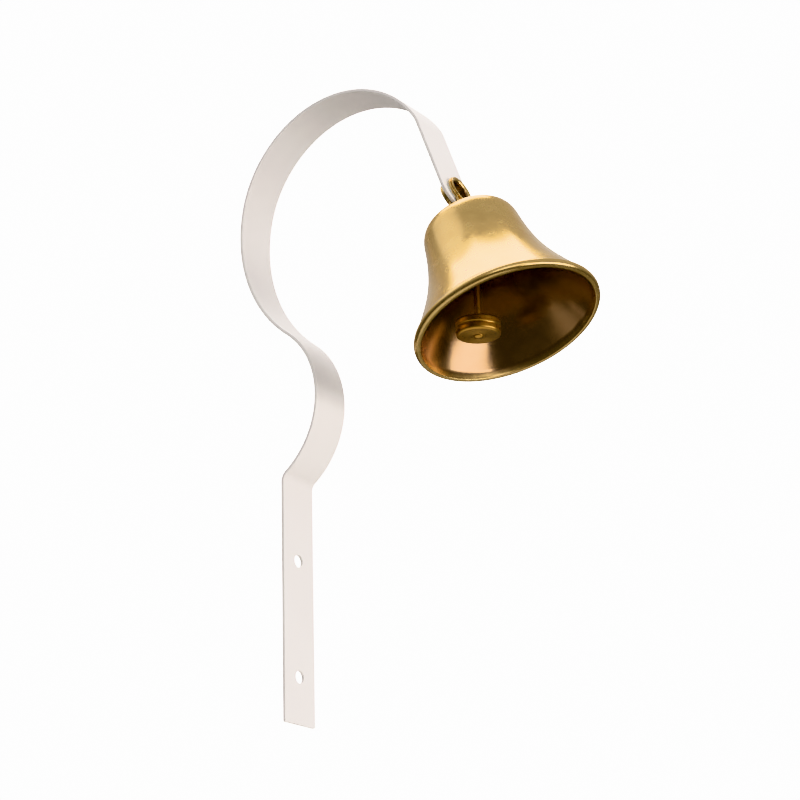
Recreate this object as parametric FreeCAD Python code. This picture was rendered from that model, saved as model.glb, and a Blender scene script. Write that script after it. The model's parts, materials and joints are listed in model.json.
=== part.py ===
"""Wall mounted shop bell: a curled spring strip with a screw flange, and a brass bell on a pivot.

Units are millimetres. +Z is up, +X points away from the wall and the object is symmetric about
the plane Y = 0. The origin is the middle of the two screw holes, on the flange's back face.
"""
import FreeCAD, Part
import math
import os

from FreeCAD import Placement, Rotation, Vector

# --- bracket strip ---------------------------------------------------------------------------
STRIP_WIDTH = 19.0
STRIP_THICK = 1.5
SCREW_SPACING = 47.0
SCREW_HOLE_R = 2.5
FLANGE_BELOW_HOLE = 19.0
FLANGE_CORNER_R = 0.8

# The strip's centreline from the flange's lower end: straight lengths, and arcs as
# (radius, turn in degrees), where a positive turn leans the upward path away from the wall.
FLANGE_LENGTH = 97.1
TOE_ARC = (4.75, 54.1)
SMALL_LOOP_ARC = (36.95, -105.0)
NECK_LENGTH = 2.0
RISE_ARC = (62.3, 63.2)
BIG_LOOP_ARC = (48.6, 133.8)
DROP_ARC = (19.0, 14.4)
TAIL_TO_PIVOT = 34.2
ROUND_END_ABOVE_PIVOT = 2.0
STRIP_PATH = [
    (FLANGE_LENGTH, 0.0),
    TOE_ARC,
    SMALL_LOOP_ARC,
    (NECK_LENGTH, 0.0),
    RISE_ARC,
    BIG_LOOP_ARC,
    DROP_ARC,
]

# --- pivot and fork --------------------------------------------------------------------------
PIVOT_ABOVE_MOUTH = 65.8
RUNNING_GAP = 0.05
SIDE_GAP = 0.15
PIVOT_HOLE_R = 5.0
RIVET_BORE_R = 4.4
RIVET_FLARE_R = 6.2
RIVET_MOUTH_R = 5.8
RIVET_FLARE_STAND = 0.8
RIVET_THROAT_DEPTH = 1.5
PIVOT_WASHER_THICK = 0.4
PIVOT_WASHER_R = 6.4
LUG_THICK = 1.1
LUG_R = 6.6
LUG_FOOT_WIDTH = 9.6
FORK_BASE_R = 6.2
FORK_BASE_THICK = 1.0
FORK_STEM_R = 2.9
FORK_STEM_LENGTH = 2.6

# --- bell shell, radii and heights above the mouth --------------------------------------------
CROWN_HEIGHT = 53.5
CROWN_THICK = 2.9
CROWN_PAD_R = 6.4
CROWN_HOLE_R = 3.0
SHOULDER_REACH = 13.8
SHOULDER_DROP = 9.0
WAIST_R = 20.0
WAIST_HEIGHT = 44.5
WAIST_SLOPE = 0.14
WAIST_REACH = 20.0
FLARE_SLOPE = 0.6
FLARE_REACH = 12.5
CREASE_R = 36.3
CREASE_HEIGHT = 3.9
LIP_TOP_R = 37.0
LIP_TOP_HEIGHT = 3.4
LIP_R = 37.8
LIP_MID_HEIGHT = 1.7
LIP_FLAT_R = 36.9
MOUTH_R = 35.4
WALL = 2.2

# --- hardware inside the crown ----------------------------------------------------------------
BOLT_R = 1.5
BOLT_TIP_BELOW_BASE = 0.2
CROWN_WASHER_R = 5.5
CROWN_WASHER_THICK = 0.6
NUT_FLATS = 5.5
NUT_HEIGHT = 2.4
NUT_CHAMFER = 0.35

# --- clapper ----------------------------------------------------------------------------------
EYE_ABOVE_MOUTH = 42.0
EYE_R = 3.2
EYE_WIRE_R = 1.0
LINK_R = 3.6
LINK_WIRE_R = 0.8
ROD_EYE_R = 3.2
ROD_R = 1.2
WIRE_GAP = 0.2
WEIGHT_BELOW_SWING = 29.0
WEIGHT_R = 8.8
WEIGHT_HEIGHT = 6.4
WEIGHT_EDGE_R = 1.1
WEIGHT_GROOVE_R = 0.75
ROD_COLLAR_R = 2.0
ROD_COLLAR_HEIGHT = 1.0
PEEN_R = 2.0
PEEN_HEIGHT = 0.9

X_AXIS = Vector(1, 0, 0)
Y_AXIS = Vector(0, 1, 0)
Z_AXIS = Vector(0, 0, 1)
ORIGIN = Vector(0, 0, 0)


# --- the strip's centreline -------------------------------------------------------------------
def path_vector(heading):
    """Unit vector along the path, whose heading is measured from +Z towards +X."""
    return Vector(math.sin(heading), 0, math.cos(heading))


def front_vector(heading):
    """Unit vector square to the path, on the side that faces away from the wall at the flange."""
    return Vector(math.cos(heading), 0, -math.sin(heading))


def advance(point, heading, size, turn_degrees):
    """Move along one straight (turn 0, size is its length) or arc (size is its radius)."""
    if turn_degrees == 0:
        return point + path_vector(heading) * size, heading
    turn = math.radians(turn_degrees)
    side = math.copysign(size, turn)
    centre = point + front_vector(heading) * side
    return centre - front_vector(heading + turn) * side, heading + turn


def walk_strip():
    """Each piece of the centreline as its start, middle and end, and where the last one ends."""
    here = (Vector(STRIP_THICK / 2, 0, -SCREW_SPACING / 2 - FLANGE_BELOW_HOLE), 0.0)
    pieces = []
    for size, turn in STRIP_PATH:
        half = (size / 2, 0) if turn == 0 else (size, turn / 2)
        end = advance(*here, size, turn)
        pieces.append((here, advance(*here, *half), end, turn))
        here = end
    return pieces, here


STRIP_PIECES, TAIL_START = walk_strip()
TAIL_HEADING = TAIL_START[1]
TAIL_DOWN = path_vector(TAIL_HEADING)
PIVOT = TAIL_START[0] + TAIL_DOWN * TAIL_TO_PIVOT
MOUTH = PIVOT + TAIL_DOWN * PIVOT_ABOVE_MOUTH
BELL_TILT = 180.0 - math.degrees(TAIL_HEADING)

# The bell's own frame: origin in the middle of the mouth, +Z up its axis, +X along the pivot.
BELL_PLACE = Placement(MOUTH, Rotation(Y_AXIS, -BELL_TILT))
# The pivot's own frame: +Z along the pivot, +X down the strip's tail.
PIVOT_PLACE = Placement(PIVOT, Rotation(Y_AXIS, 90.0 - BELL_TILT))

LUG_INNER = STRIP_THICK / 2 + SIDE_GAP + PIVOT_WASHER_THICK
LUG_OUTER = LUG_INNER + LUG_THICK
RIVET_SHANK_R = PIVOT_HOLE_R - RUNNING_GAP
BOLT_HOLE_R = BOLT_R + RUNNING_GAP
FORK_TOP = CROWN_HEIGHT + FORK_BASE_THICK
CROWN_UNDERSIDE = CROWN_HEIGHT - CROWN_THICK
NUT_TOP = CROWN_UNDERSIDE - CROWN_WASHER_THICK

EYE_CENTRE = MOUTH - TAIL_DOWN * EYE_ABOVE_MOUTH
LINK_TOP = EYE_CENTRE - Z_AXIS * (EYE_R - EYE_WIRE_R - LINK_WIRE_R - WIRE_GAP)
LINK_CENTRE = LINK_TOP - Z_AXIS * LINK_R
LINK_HINGE = EYE_CENTRE - Z_AXIS * EYE_R
CLAPPER_HINGE = LINK_CENTRE - Z_AXIS * LINK_R
ROD_EYE_TOP = CLAPPER_HINGE + Z_AXIS * (LINK_WIRE_R + ROD_R + WIRE_GAP)
ROD_EYE_CENTRE = ROD_EYE_TOP - Z_AXIS * ROD_EYE_R
WEIGHT_CENTRE = CLAPPER_HINGE - Z_AXIS * WEIGHT_BELOW_SWING


# --- small helpers ----------------------------------------------------------------------------
def placed(shape, placement):
    """The shape, moved from its own frame to where it belongs."""
    shape.Placement = placement.multiply(shape.Placement)
    return shape


def ring(wire_r, ring_r, centre, normal):
    return Part.makeTorus(ring_r, wire_r, centre, normal)


def tube(outer_r, inner_r, height, base, direction):
    """A plain washer or sleeve."""
    outer = Part.makeCylinder(outer_r, height, base, direction)
    return outer.cut(Part.makeCylinder(inner_r, height, base, direction))


def turned(edges):
    """The solid of revolution about Z whose half section the edges enclose."""
    return Part.Face(Part.Wire(edges)).revolve(ORIGIN, Z_AXIS, 360)


def polyline(points):
    """Line edges through (radius, height) points."""
    corners = [Vector(r, 0, h) for r, h in points]
    return [Part.LineSegment(a, b).toShape() for a, b in zip(corners, corners[1:])]


def curve(points):
    """A smooth edge whose ends and handles are the given points."""
    bezier = Part.BezierCurve()
    bezier.setPoles(points)
    return bezier.toShape()


# --- bracket strip ----------------------------------------------------------------------------
def offset_edge(piece, offset):
    """The edge beside one piece of the centreline, on its front side when offset is positive."""
    start, middle, end, turn = piece
    a, b, c = [point + front_vector(heading) * offset for point, heading in (start, middle, end)]
    return (Part.LineSegment(a, c) if turn == 0 else Part.Arc(a, b, c)).toShape()


def bracket_strip():
    half_width = STRIP_WIDTH / 2
    tail_length = TAIL_TO_PIVOT + half_width - ROUND_END_ABOVE_PIVOT
    tail_end = advance(*TAIL_START, tail_length, 0)
    pieces = STRIP_PIECES + [(TAIL_START, TAIL_START, tail_end, 0)]
    front = [offset_edge(piece, STRIP_THICK / 2) for piece in pieces]
    back = [offset_edge(piece, -STRIP_THICK / 2) for piece in pieces]
    foot = Part.LineSegment(front[0].Vertexes[0].Point, back[0].Vertexes[0].Point).toShape()
    tip = Part.LineSegment(front[-1].Vertexes[-1].Point, back[-1].Vertexes[-1].Point).toShape()
    outline = Part.Wire(Part.__sortEdges__(front + back + [foot, tip]))
    section = Part.Face(outline)
    section.translate(Y_AXIS * -half_width)
    strip = section.extrude(Y_AXIS * STRIP_WIDTH)

    foot_z = foot.Vertexes[0].Point.z
    corners = [edge for edge in strip.Edges
               if all(abs(v.Point.z - foot_z) < 0.01 for v in edge.Vertexes)
               and abs(edge.Length - STRIP_THICK) < 0.01]
    strip = strip.makeFillet(FLANGE_CORNER_R, corners)

    for side in (-1, 1):
        screw_hole = Part.makeCylinder(SCREW_HOLE_R, 4 * STRIP_THICK,
                                       Vector(-STRIP_THICK, 0, side * SCREW_SPACING / 2), X_AXIS)
        strip = strip.cut(screw_hole)

    depth = 4 * STRIP_THICK
    round_centre = Vector(-ROUND_END_ABOVE_PIVOT, 0, -depth / 2)
    square = Part.makeBox(STRIP_WIDTH, 2 * STRIP_WIDTH, depth, round_centre - Y_AXIS * STRIP_WIDTH)
    waste = square.cut(Part.makeCylinder(half_width, depth, round_centre))
    pivot_hole = Part.makeCylinder(PIVOT_HOLE_R, depth, Vector(0, 0, -depth / 2))
    return strip.cut(placed(waste, PIVOT_PLACE)).cut(placed(pivot_hole, PIVOT_PLACE))


# --- pivot --------------------------------------------------------------------------------------
def pivot_rivet():
    """A tubular rivet: both ends are flared like a trumpet over the lugs."""
    rim = LUG_OUTER + RIVET_FLARE_STAND
    throat = rim - RIVET_THROAT_DEPTH
    flare = curve([Vector(RIVET_BORE_R, 0, throat), Vector(RIVET_BORE_R, 0, rim - 0.7),
                   Vector(RIVET_BORE_R + 0.8, 0, rim), Vector(RIVET_MOUTH_R, 0, rim)])
    outside = polyline([(RIVET_MOUTH_R, rim), (RIVET_FLARE_R, rim - 0.4),
                        (RIVET_FLARE_R, LUG_OUTER), (RIVET_SHANK_R, LUG_OUTER),
                        (RIVET_SHANK_R, 0), (RIVET_BORE_R, 0), (RIVET_BORE_R, throat)])
    half = turned([flare] + outside)
    other = half.mirror(ORIGIN, Z_AXIS)
    return placed(half.fuse(other).removeSplitter(), PIVOT_PLACE)


def pivot_washers():
    washers = [tube(PIVOT_WASHER_R, PIVOT_HOLE_R, PIVOT_WASHER_THICK,
                    Z_AXIS * (side * LUG_INNER), Z_AXIS * -side) for side in (-1, 1)]
    return placed(Part.makeCompound(washers), PIVOT_PLACE)


def hanger_fork():
    """Two ring lugs on a round base, with a tapped stem that goes down through the crown."""
    fork = Part.makeCylinder(FORK_BASE_R, FORK_BASE_THICK, Z_AXIS * CROWN_HEIGHT)
    for side in (-1, 1):
        inner = Vector(side * LUG_INNER, 0, PIVOT_ABOVE_MOUTH)
        lug = Part.makeCylinder(LUG_R, LUG_THICK, inner, X_AXIS * side)
        foot_corner = Vector(min(side * LUG_INNER, side * LUG_OUTER), -LUG_FOOT_WIDTH / 2,
                             CROWN_HEIGHT)
        foot = Part.makeBox(LUG_THICK, LUG_FOOT_WIDTH, PIVOT_ABOVE_MOUTH - CROWN_HEIGHT,
                            foot_corner)
        fork = fork.fuse(lug).fuse(foot)
    fork = fork.fuse(Part.makeCylinder(FORK_STEM_R, FORK_STEM_LENGTH,
                                       Z_AXIS * (CROWN_HEIGHT - FORK_STEM_LENGTH)))
    pivot_hole = Part.makeCylinder(PIVOT_HOLE_R, 4 * LUG_OUTER,
                                   Vector(-2 * LUG_OUTER, 0, PIVOT_ABOVE_MOUTH), X_AXIS)
    tapping = Part.makeCylinder(BOLT_HOLE_R, FORK_STEM_LENGTH + FORK_BASE_THICK,
                                Z_AXIS * (CROWN_HEIGHT - FORK_STEM_LENGTH))
    return placed(fork.cut(pivot_hole).cut(tapping).removeSplitter(), BELL_PLACE)


# --- bell shell -------------------------------------------------------------------------------
def inset(points, depth):
    """The handles of the curve that runs inside an outer curve, one wall thickness away."""
    start = (points[1] - points[0]).normalize()
    end = (points[3] - points[2]).normalize()
    start_inward = Vector(start.z, 0, -start.x) * depth
    end_inward = Vector(end.z, 0, -end.x) * depth
    return [points[0] + start_inward, points[1] + start_inward,
            points[2] + end_inward, points[3] + end_inward]


def bell_shell():
    """A cast bell: a domed shoulder, a waist that flares to the mouth, and a raised lip."""
    waist = Vector(WAIST_R, 0, WAIST_HEIGHT)
    waist_way = Vector(WAIST_SLOPE, 0, -1)
    crease = Vector(CREASE_R, 0, CREASE_HEIGHT)
    dome = [Vector(0, 0, CROWN_HEIGHT), Vector(SHOULDER_REACH, 0, CROWN_HEIGHT),
            waist - waist_way * SHOULDER_DROP, waist]
    flare = [waist, waist + waist_way * WAIST_REACH,
             crease + Vector(-FLARE_SLOPE, 0, 1) * FLARE_REACH, crease]
    inner_dome, inner_flare = inset(dome, WALL), inset(flare, WALL)
    lip_top = Vector(LIP_TOP_R, 0, LIP_TOP_HEIGHT)
    lip_flat = Vector(LIP_FLAT_R, 0, 0)
    mouth = Vector(MOUTH_R, 0, 0)
    bead = Part.Arc(lip_top, Vector(LIP_R, 0, LIP_MID_HEIGHT), lip_flat)
    edges = [
        curve(dome),
        curve(flare),
        Part.LineSegment(crease, lip_top).toShape(),
        bead.toShape(),
        Part.LineSegment(lip_flat, mouth).toShape(),
        Part.LineSegment(mouth, inner_flare[3]).toShape(),
        curve(inner_flare[::-1]),
        curve(inner_dome[::-1]),
        Part.LineSegment(inner_dome[0], dome[0]).toShape(),
    ]
    shell = turned(edges)
    pad = Part.makeCylinder(CROWN_PAD_R, CROWN_THICK, Z_AXIS * CROWN_UNDERSIDE)
    hole = Part.makeCylinder(CROWN_HOLE_R, CROWN_THICK, Z_AXIS * CROWN_UNDERSIDE)
    return placed(shell.fuse(pad).cut(hole).removeSplitter(), BELL_PLACE)


# --- hardware inside the crown ----------------------------------------------------------------
def crown_washer():
    washer = tube(CROWN_WASHER_R, BOLT_HOLE_R, CROWN_WASHER_THICK, Z_AXIS * NUT_TOP, Z_AXIS)
    return placed(washer, BELL_PLACE)


def crown_nut():
    """A hexagon nut with chamfered corners."""
    corner_r = NUT_FLATS / math.sqrt(3)
    base = Z_AXIS * (NUT_TOP - NUT_HEIGHT)
    corners = [Vector(corner_r * math.cos(math.radians(a)), corner_r * math.sin(math.radians(a)), 0)
               + base for a in range(0, 361, 60)]
    hexagon = Part.Face(Part.makePolygon(corners)).extrude(Z_AXIS * NUT_HEIGHT)
    blank = Part.makeCylinder(corner_r, NUT_HEIGHT, base)
    rims = [edge for edge in blank.Edges if isinstance(edge.Curve, Part.Circle)]
    blank = blank.makeChamfer(NUT_CHAMFER, rims)
    hole = Part.makeCylinder(BOLT_HOLE_R, NUT_HEIGHT, base)
    return placed(hexagon.common(blank).cut(hole), BELL_PLACE)


def clapper_eyebolt():
    """A wire eye whose shank goes up through nut, washer and crown into the fork's stem."""
    foot = EYE_ABOVE_MOUTH + EYE_R
    shank = Part.makeCylinder(BOLT_R, FORK_TOP - BOLT_TIP_BELOW_BASE - foot, Z_AXIS * foot)
    eye = ring(EYE_WIRE_R, EYE_R, Z_AXIS * EYE_ABOVE_MOUTH, Y_AXIS)
    return placed(shank.fuse(eye).removeSplitter(), BELL_PLACE)


# --- clapper ----------------------------------------------------------------------------------
def clapper_link():
    return ring(LINK_WIRE_R, LINK_R, LINK_CENTRE, X_AXIS)


def clapper_rod():
    """A rod with a ring at its top, and a collar and a peened end that hold the weight."""
    weight_top = WEIGHT_CENTRE + Z_AXIS * (WEIGHT_HEIGHT / 2)
    weight_foot = WEIGHT_CENTRE - Z_AXIS * (WEIGHT_HEIGHT / 2)
    length = ROD_EYE_CENTRE.z - ROD_EYE_R - weight_foot.z
    rod = Part.makeCylinder(ROD_R, length, weight_foot)
    eye = ring(ROD_R, ROD_EYE_R, ROD_EYE_CENTRE, Y_AXIS)
    collar = Part.makeCylinder(ROD_COLLAR_R, ROD_COLLAR_HEIGHT, weight_top)
    peen = Part.makeCone(PEEN_R, PEEN_R / 2, PEEN_HEIGHT, weight_foot, Z_AXIS * -1)
    return rod.fuse(eye).fuse(collar).fuse(peen).removeSplitter()


def clapper_weight():
    """A short turned disc with rounded edges and a groove round its middle."""
    foot = WEIGHT_CENTRE - Z_AXIS * (WEIGHT_HEIGHT / 2)
    disc = Part.makeCylinder(WEIGHT_R, WEIGHT_HEIGHT, foot)
    rims = [edge for edge in disc.Edges if isinstance(edge.Curve, Part.Circle)]
    disc = disc.makeFillet(WEIGHT_EDGE_R, rims)
    groove = ring(WEIGHT_GROOVE_R, WEIGHT_R, WEIGHT_CENTRE, Z_AXIS)
    hole = Part.makeCylinder(ROD_R + RUNNING_GAP, WEIGHT_HEIGHT, foot)
    return disc.cut(groove).cut(hole)


NODES = [
    bracket_strip,
    pivot_rivet,
    pivot_washers,
    hanger_fork,
    bell_shell,
    crown_washer,
    crown_nut,
    clapper_eyebolt,
    clapper_link,
    clapper_rod,
    clapper_weight,
]

os.makedirs("parts", exist_ok=True)
for build_node in NODES:
    shape = build_node()
    shape.exportStep(f"parts/{build_node.__name__}.step")
    box = shape.BoundBox
    print(f"{build_node.__name__:16s} solids {len(shape.Solids)} valid {shape.isValid()}"
          f" volume {shape.Volume:9.2f}"
          f" x {box.XMin:7.2f} {box.XMax:7.2f} y {box.YMin:7.2f} {box.YMax:7.2f}"
          f" z {box.ZMin:7.2f} {box.ZMax:7.2f}")
print("pivot", PIVOT, "bell tilt", round(BELL_TILT, 3), "mouth", MOUTH)
print("link hinge", LINK_HINGE, "clapper hinge", CLAPPER_HINGE)
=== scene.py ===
# %% [markdown]
# # A wall mounted shop bell
# This lesson dresses a finished mechanical model for a studio picture. The model gives every
# size and every pivot. We only add surfaces that are finer than the model's own, give each
# one a finish, light them and place a camera. All lengths in Blender are metres, so the sizes
# below are written in millimetres and multiplied by MM once, where a shape is made.

# %% Load the frame
import json
import math

import bmesh
import bpy
import numpy as np
from mathutils import Matrix, Vector


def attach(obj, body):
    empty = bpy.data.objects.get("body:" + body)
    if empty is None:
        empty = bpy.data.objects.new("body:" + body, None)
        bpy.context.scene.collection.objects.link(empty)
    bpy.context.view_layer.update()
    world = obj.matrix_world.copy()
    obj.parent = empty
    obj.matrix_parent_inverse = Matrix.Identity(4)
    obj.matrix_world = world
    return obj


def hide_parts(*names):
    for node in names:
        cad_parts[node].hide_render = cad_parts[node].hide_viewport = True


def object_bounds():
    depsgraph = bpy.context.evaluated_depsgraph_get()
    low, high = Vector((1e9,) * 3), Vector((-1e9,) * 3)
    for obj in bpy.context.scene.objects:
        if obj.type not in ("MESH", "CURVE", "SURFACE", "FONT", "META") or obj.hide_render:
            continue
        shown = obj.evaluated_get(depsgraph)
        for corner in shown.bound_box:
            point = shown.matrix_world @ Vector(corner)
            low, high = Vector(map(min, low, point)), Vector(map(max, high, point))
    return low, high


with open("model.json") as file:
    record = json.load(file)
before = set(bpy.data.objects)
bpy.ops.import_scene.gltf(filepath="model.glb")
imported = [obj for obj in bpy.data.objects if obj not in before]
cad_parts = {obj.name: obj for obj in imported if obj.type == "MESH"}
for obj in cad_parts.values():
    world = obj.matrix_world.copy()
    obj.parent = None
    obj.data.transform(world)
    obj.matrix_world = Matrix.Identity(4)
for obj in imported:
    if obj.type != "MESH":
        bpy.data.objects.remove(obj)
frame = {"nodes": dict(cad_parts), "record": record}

MM = 0.001
SHARP_DEGREES = 38
cad_low, cad_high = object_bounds()
print("CAD box:", [round(v, 4) for v in cad_low], [round(v, 4) for v in cad_high])

# %% [markdown]
# ## Tools for surfaces
# Every new piece is a grid of points, or a few grids that share their borders. A grid could be
# built face by face, but numpy can number all the corners of all its quads in one step, and
# Blender then takes the whole arrays. Where two grids meet, or where a row of points closes up
# to one point, the doubles are merged, so that the finished mesh has no seam.

# %% Grids of points to meshes
def grid_quads(rows, columns, wrap_rows, wrap_columns):
    """Row and column of the four corners of every quad, as an array (quads, 4, 2).

    A wrapped direction has one more strip of quads, which joins the last line to the first.
    """
    row = np.arange(rows - 1 + wrap_rows)
    column = np.arange(columns - 1 + wrap_columns)
    row, column = np.meshgrid(row, column, indexing="ij")
    steps = [(0, 0), (0, 1), (1, 1), (1, 0)]
    corners = [np.stack([row + a, column + b], axis=-1) for a, b in steps]
    return np.stack(corners, axis=-2).reshape(-1, 4, 2)


def build_piece(name, grids, body, merge=0.002):
    """One mesh object from several grids, each (points, wrap_rows, wrap_columns), in mm.

    The UV of a corner is its column and row, each divided by the grid's size, so a pattern can
    follow the surface. Corners closer than the merge distance in mm become one.
    """
    points, quads, uvs, offset = [], [], [], 0
    for grid, wrap_rows, wrap_columns in grids:
        rows, columns = grid.shape[:2]
        corners = grid_quads(rows, columns, wrap_rows, wrap_columns)
        index = (corners[..., 0] % rows) * columns + corners[..., 1] % columns + offset
        size = np.array([rows - 1 + wrap_rows, columns - 1 + wrap_columns])
        points.append(grid.reshape(-1, 3))
        quads.append(index)
        uvs.append((corners / size)[..., ::-1])
        offset += rows * columns
    points, quads, uvs = np.concatenate(points) * MM, np.concatenate(quads), np.concatenate(uvs)

    mesh = bpy.data.meshes.new(name)
    mesh.from_pydata(points, [], quads.tolist())
    mesh.uv_layers.new(name="surface").uv.foreach_set("vector", uvs.reshape(-1))
    finish_mesh(mesh, merge * MM)
    piece = bpy.data.objects.new(name, mesh)
    bpy.context.scene.collection.objects.link(piece)
    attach(piece, body)
    print(f"{name}: {len(mesh.vertices)} points, {len(mesh.polygons)} faces")
    return piece


def finish_mesh(mesh, merge_distance):
    """Merge doubles, drop faces that have closed up, turn all faces outwards, shade smoothly."""
    work = bmesh.new()
    work.from_mesh(mesh)
    bmesh.ops.remove_doubles(work, verts=work.verts, dist=merge_distance)
    bmesh.ops.dissolve_degenerate(work, edges=work.edges, dist=merge_distance / 10)
    bmesh.ops.recalc_face_normals(work, faces=work.faces)
    open_edges = sum(not edge.is_manifold for edge in work.edges)
    work.to_mesh(mesh)
    work.free()
    mesh.polygons.foreach_set("use_smooth", np.ones(len(mesh.polygons), dtype=bool))
    mesh.set_sharp_from_angle(angle=math.radians(SHARP_DEGREES))
    if open_edges:
        print("open edges in", mesh.name, open_edges)


# %% [markdown]
# ## Lines in a plane
# Profiles and outlines are made of straight runs, round arcs and smooth curves with handles.
# Each is a function that returns all its points at once. A chain of them drops the point that
# two neighbours share.

# %% Straight runs, arcs and curves
def line(start, end, count=2):
    """Evenly spaced points: start plus t times the way to the end, t from 0 to 1."""
    t = np.linspace(0, 1, count)[:, None]
    return np.asarray(start) + t * (np.asarray(end) - np.asarray(start))


def arc(centre, radius, first, last, count):
    """Points at radius times (cos, sin) of angles from first to last, in degrees."""
    angle = np.radians(np.linspace(first, last, count))
    return np.asarray(centre) + radius * np.stack([np.cos(angle), np.sin(angle)], axis=1)


def curve(handles, count):
    """Cubic curve: each handle weighted by (1, 3, 3, 1) times powers of 1 - t and t."""
    t = np.linspace(0, 1, count)[:, None]
    a, b, c, d = np.asarray(handles, dtype=float)
    return (1 - t) ** 3 * a + 3 * (1 - t) ** 2 * t * b + 3 * (1 - t) * t ** 2 * c + t ** 3 * d


def chain(*runs):
    """Runs joined end to end, without the repeated joints."""
    return np.concatenate([runs[0]] + [run[1:] for run in runs[1:]])


def with_height(flat, heights):
    """Loops (x, y) made into loops (x, y, height), with one height for every loop."""
    heights = np.asarray(heights)[:, None, None]
    return np.concatenate([flat, np.broadcast_to(heights, flat.shape[:2] + (1,))], axis=-1)


def revolve(profile, count):
    """Grid of (radius cos a, radius sin a, height) for every profile point and angle a."""
    angle = np.linspace(0, 2 * np.pi, count, endpoint=False)
    radius, height = profile[:, :1], profile[:, 1:]
    return np.stack([radius * np.cos(angle), radius * np.sin(angle),
                     height + 0 * angle], axis=-1)


# %% [markdown]
# ## Where things are
# The bell leans with the strip's tail. The hinge of the frame gives the pivot and its
# direction, and from these come the two local frames that the round pieces are made in: the
# bell's, whose third axis runs up the bell from the middle of its mouth, and the pivot's, whose
# third axis runs along the rivet. A local grid is turned and moved with one matrix product.

# %% Local frames from the hinges
hinges = {joint["name"]: joint for joint in frame["record"]["behaviour"]["joints"]}
pivot = np.array(hinges["bell_swing"]["pos_m"]) / MM
pivot_axis = np.array(hinges["bell_swing"]["axis"])
clapper_hinge = np.array(hinges["clapper_swing"]["pos_m"]) / MM
ACROSS = np.array([0.0, 1.0, 0.0])
bell_up = np.cross(pivot_axis, ACROSS)
PIVOT_ABOVE_MOUTH = 65.8
mouth = pivot - PIVOT_ABOVE_MOUTH * bell_up


def in_bell_frame(grid):
    """Local x runs along the pivot, y across the strip and z up the bell, from its mouth."""
    return grid @ np.array([pivot_axis, ACROSS, bell_up]) + mouth


def in_pivot_frame(grid):
    """Local x runs down the strip's tail, y across it and z along the rivet, from the pivot."""
    return grid @ np.array([-bell_up, ACROSS, pivot_axis]) + pivot


print("bell leans", round(math.degrees(math.atan2(-bell_up[0], bell_up[2])), 2), "degrees")

# %% [markdown]
# ## Colours and shader nodes
# A colour picked from a paint card is an sRGB hex value, but a shader wants linear light. One
# function turns the one into the other. A second one adds a shader node together with its
# settings and what is linked into it, so that a material reads as a short list.

# %% Helpers for materials
def linear(hex_colour):
    """sRGB hex to linear RGBA: divide by 12.92 near black, else ((c + 0.055) / 1.055) ** 2.4."""
    values = np.array([int(hex_colour[i:i + 2], 16) for i in (1, 3, 5)]) / 255
    light = np.where(values <= 0.04045, values / 12.92, ((values + 0.055) / 1.055) ** 2.4)
    return (*light.tolist(), 1.0)


def add_node(tree, kind, inputs, **settings):
    """Add one node; an input that is another node's output is linked, any other is a value."""
    made = tree.nodes.new(kind)
    for name, value in settings.items():
        setattr(made, name, value)
    for socket, value in inputs.items():
        if isinstance(value, bpy.types.NodeSocket):
            tree.links.new(value, made.inputs[socket])
        else:
            made.inputs[socket].default_value = value
    return made


def mix_colours(tree, factor, first, second):
    """A colour between two, which are hex values or outputs of other nodes."""
    ends = [linear(end) if isinstance(end, str) else end for end in (first, second)]
    mix = add_node(tree, "ShaderNodeMix", {0: factor, 6: ends[0], 7: ends[1]}, data_type="RGBA")
    return mix.outputs[2]


def new_material(name):
    """An empty material, its node tree and its Principled shader, already on the output."""
    material = bpy.data.materials.new(name)
    material.use_nodes = True
    tree = material.node_tree
    return material, tree, tree.nodes["Principled BSDF"]


def feed(tree, shader, **inputs):
    """Set or link inputs of the shader by name, with _ for a space."""
    for name, value in inputs.items():
        socket = shader.inputs[name.replace("_", " ")]
        if isinstance(value, bpy.types.NodeSocket):
            tree.links.new(value, socket)
        else:
            socket.default_value = value


def dress(piece, material):
    """Put the material in every slot of a piece, or in a new slot if it has none."""
    slots = piece.material_slots
    if not slots:
        piece.data.materials.append(material)
    for material_slot in slots:
        material_slot.material = material


# %% [markdown]
# ## White powder coat
# The strip is spring steel with a baked white polyester powder coat. Powder melts into a skin
# that is not quite flat: shallow waves about two millimetres across, which painters call
# orange peel, blur its reflections. A warm white that drifts very slightly, a middling
# roughness and a small bump at that wavelength give it. IOR is 1.5, as for most resins.

# %% Powder coated steel
ORANGE_PEEL_MM = 1.8
COAT_DRIFT_MM = 35.0
COAT_DARK, COAT_LIGHT = "#DED7D3", "#E6E0DC"
COAT_ROUGHNESS = 0.34, 0.48


def powder_coat():
    material, tree, shader = new_material("white_powder_coat_on_spring_steel")
    place = add_node(tree, "ShaderNodeTexCoord", {}).outputs["Object"]
    drift = add_node(tree, "ShaderNodeTexNoise",
                     {"Vector": place, "Scale": 1 / (COAT_DRIFT_MM * MM), "Detail": 3.0})
    peel = add_node(tree, "ShaderNodeTexNoise",
                    {"Vector": place, "Scale": 1 / (ORANGE_PEEL_MM * MM), "Detail": 1.5})
    white = mix_colours(tree, drift.outputs["Fac"], COAT_DARK, COAT_LIGHT)
    gloss = add_node(tree, "ShaderNodeMapRange",
                     {"Value": peel.outputs["Fac"], "To Min": COAT_ROUGHNESS[0],
                      "To Max": COAT_ROUGHNESS[1]})
    waves = add_node(tree, "ShaderNodeBump",
                     {"Height": peel.outputs["Fac"], "Strength": 0.35, "Distance": 0.05 * MM})
    feed(tree, shader, Base_Color=white, Roughness=gloss.outputs["Result"],
         Normal=waves.outputs["Normal"], IOR=1.5)
    return material


WHITE_COAT = powder_coat()

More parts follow.
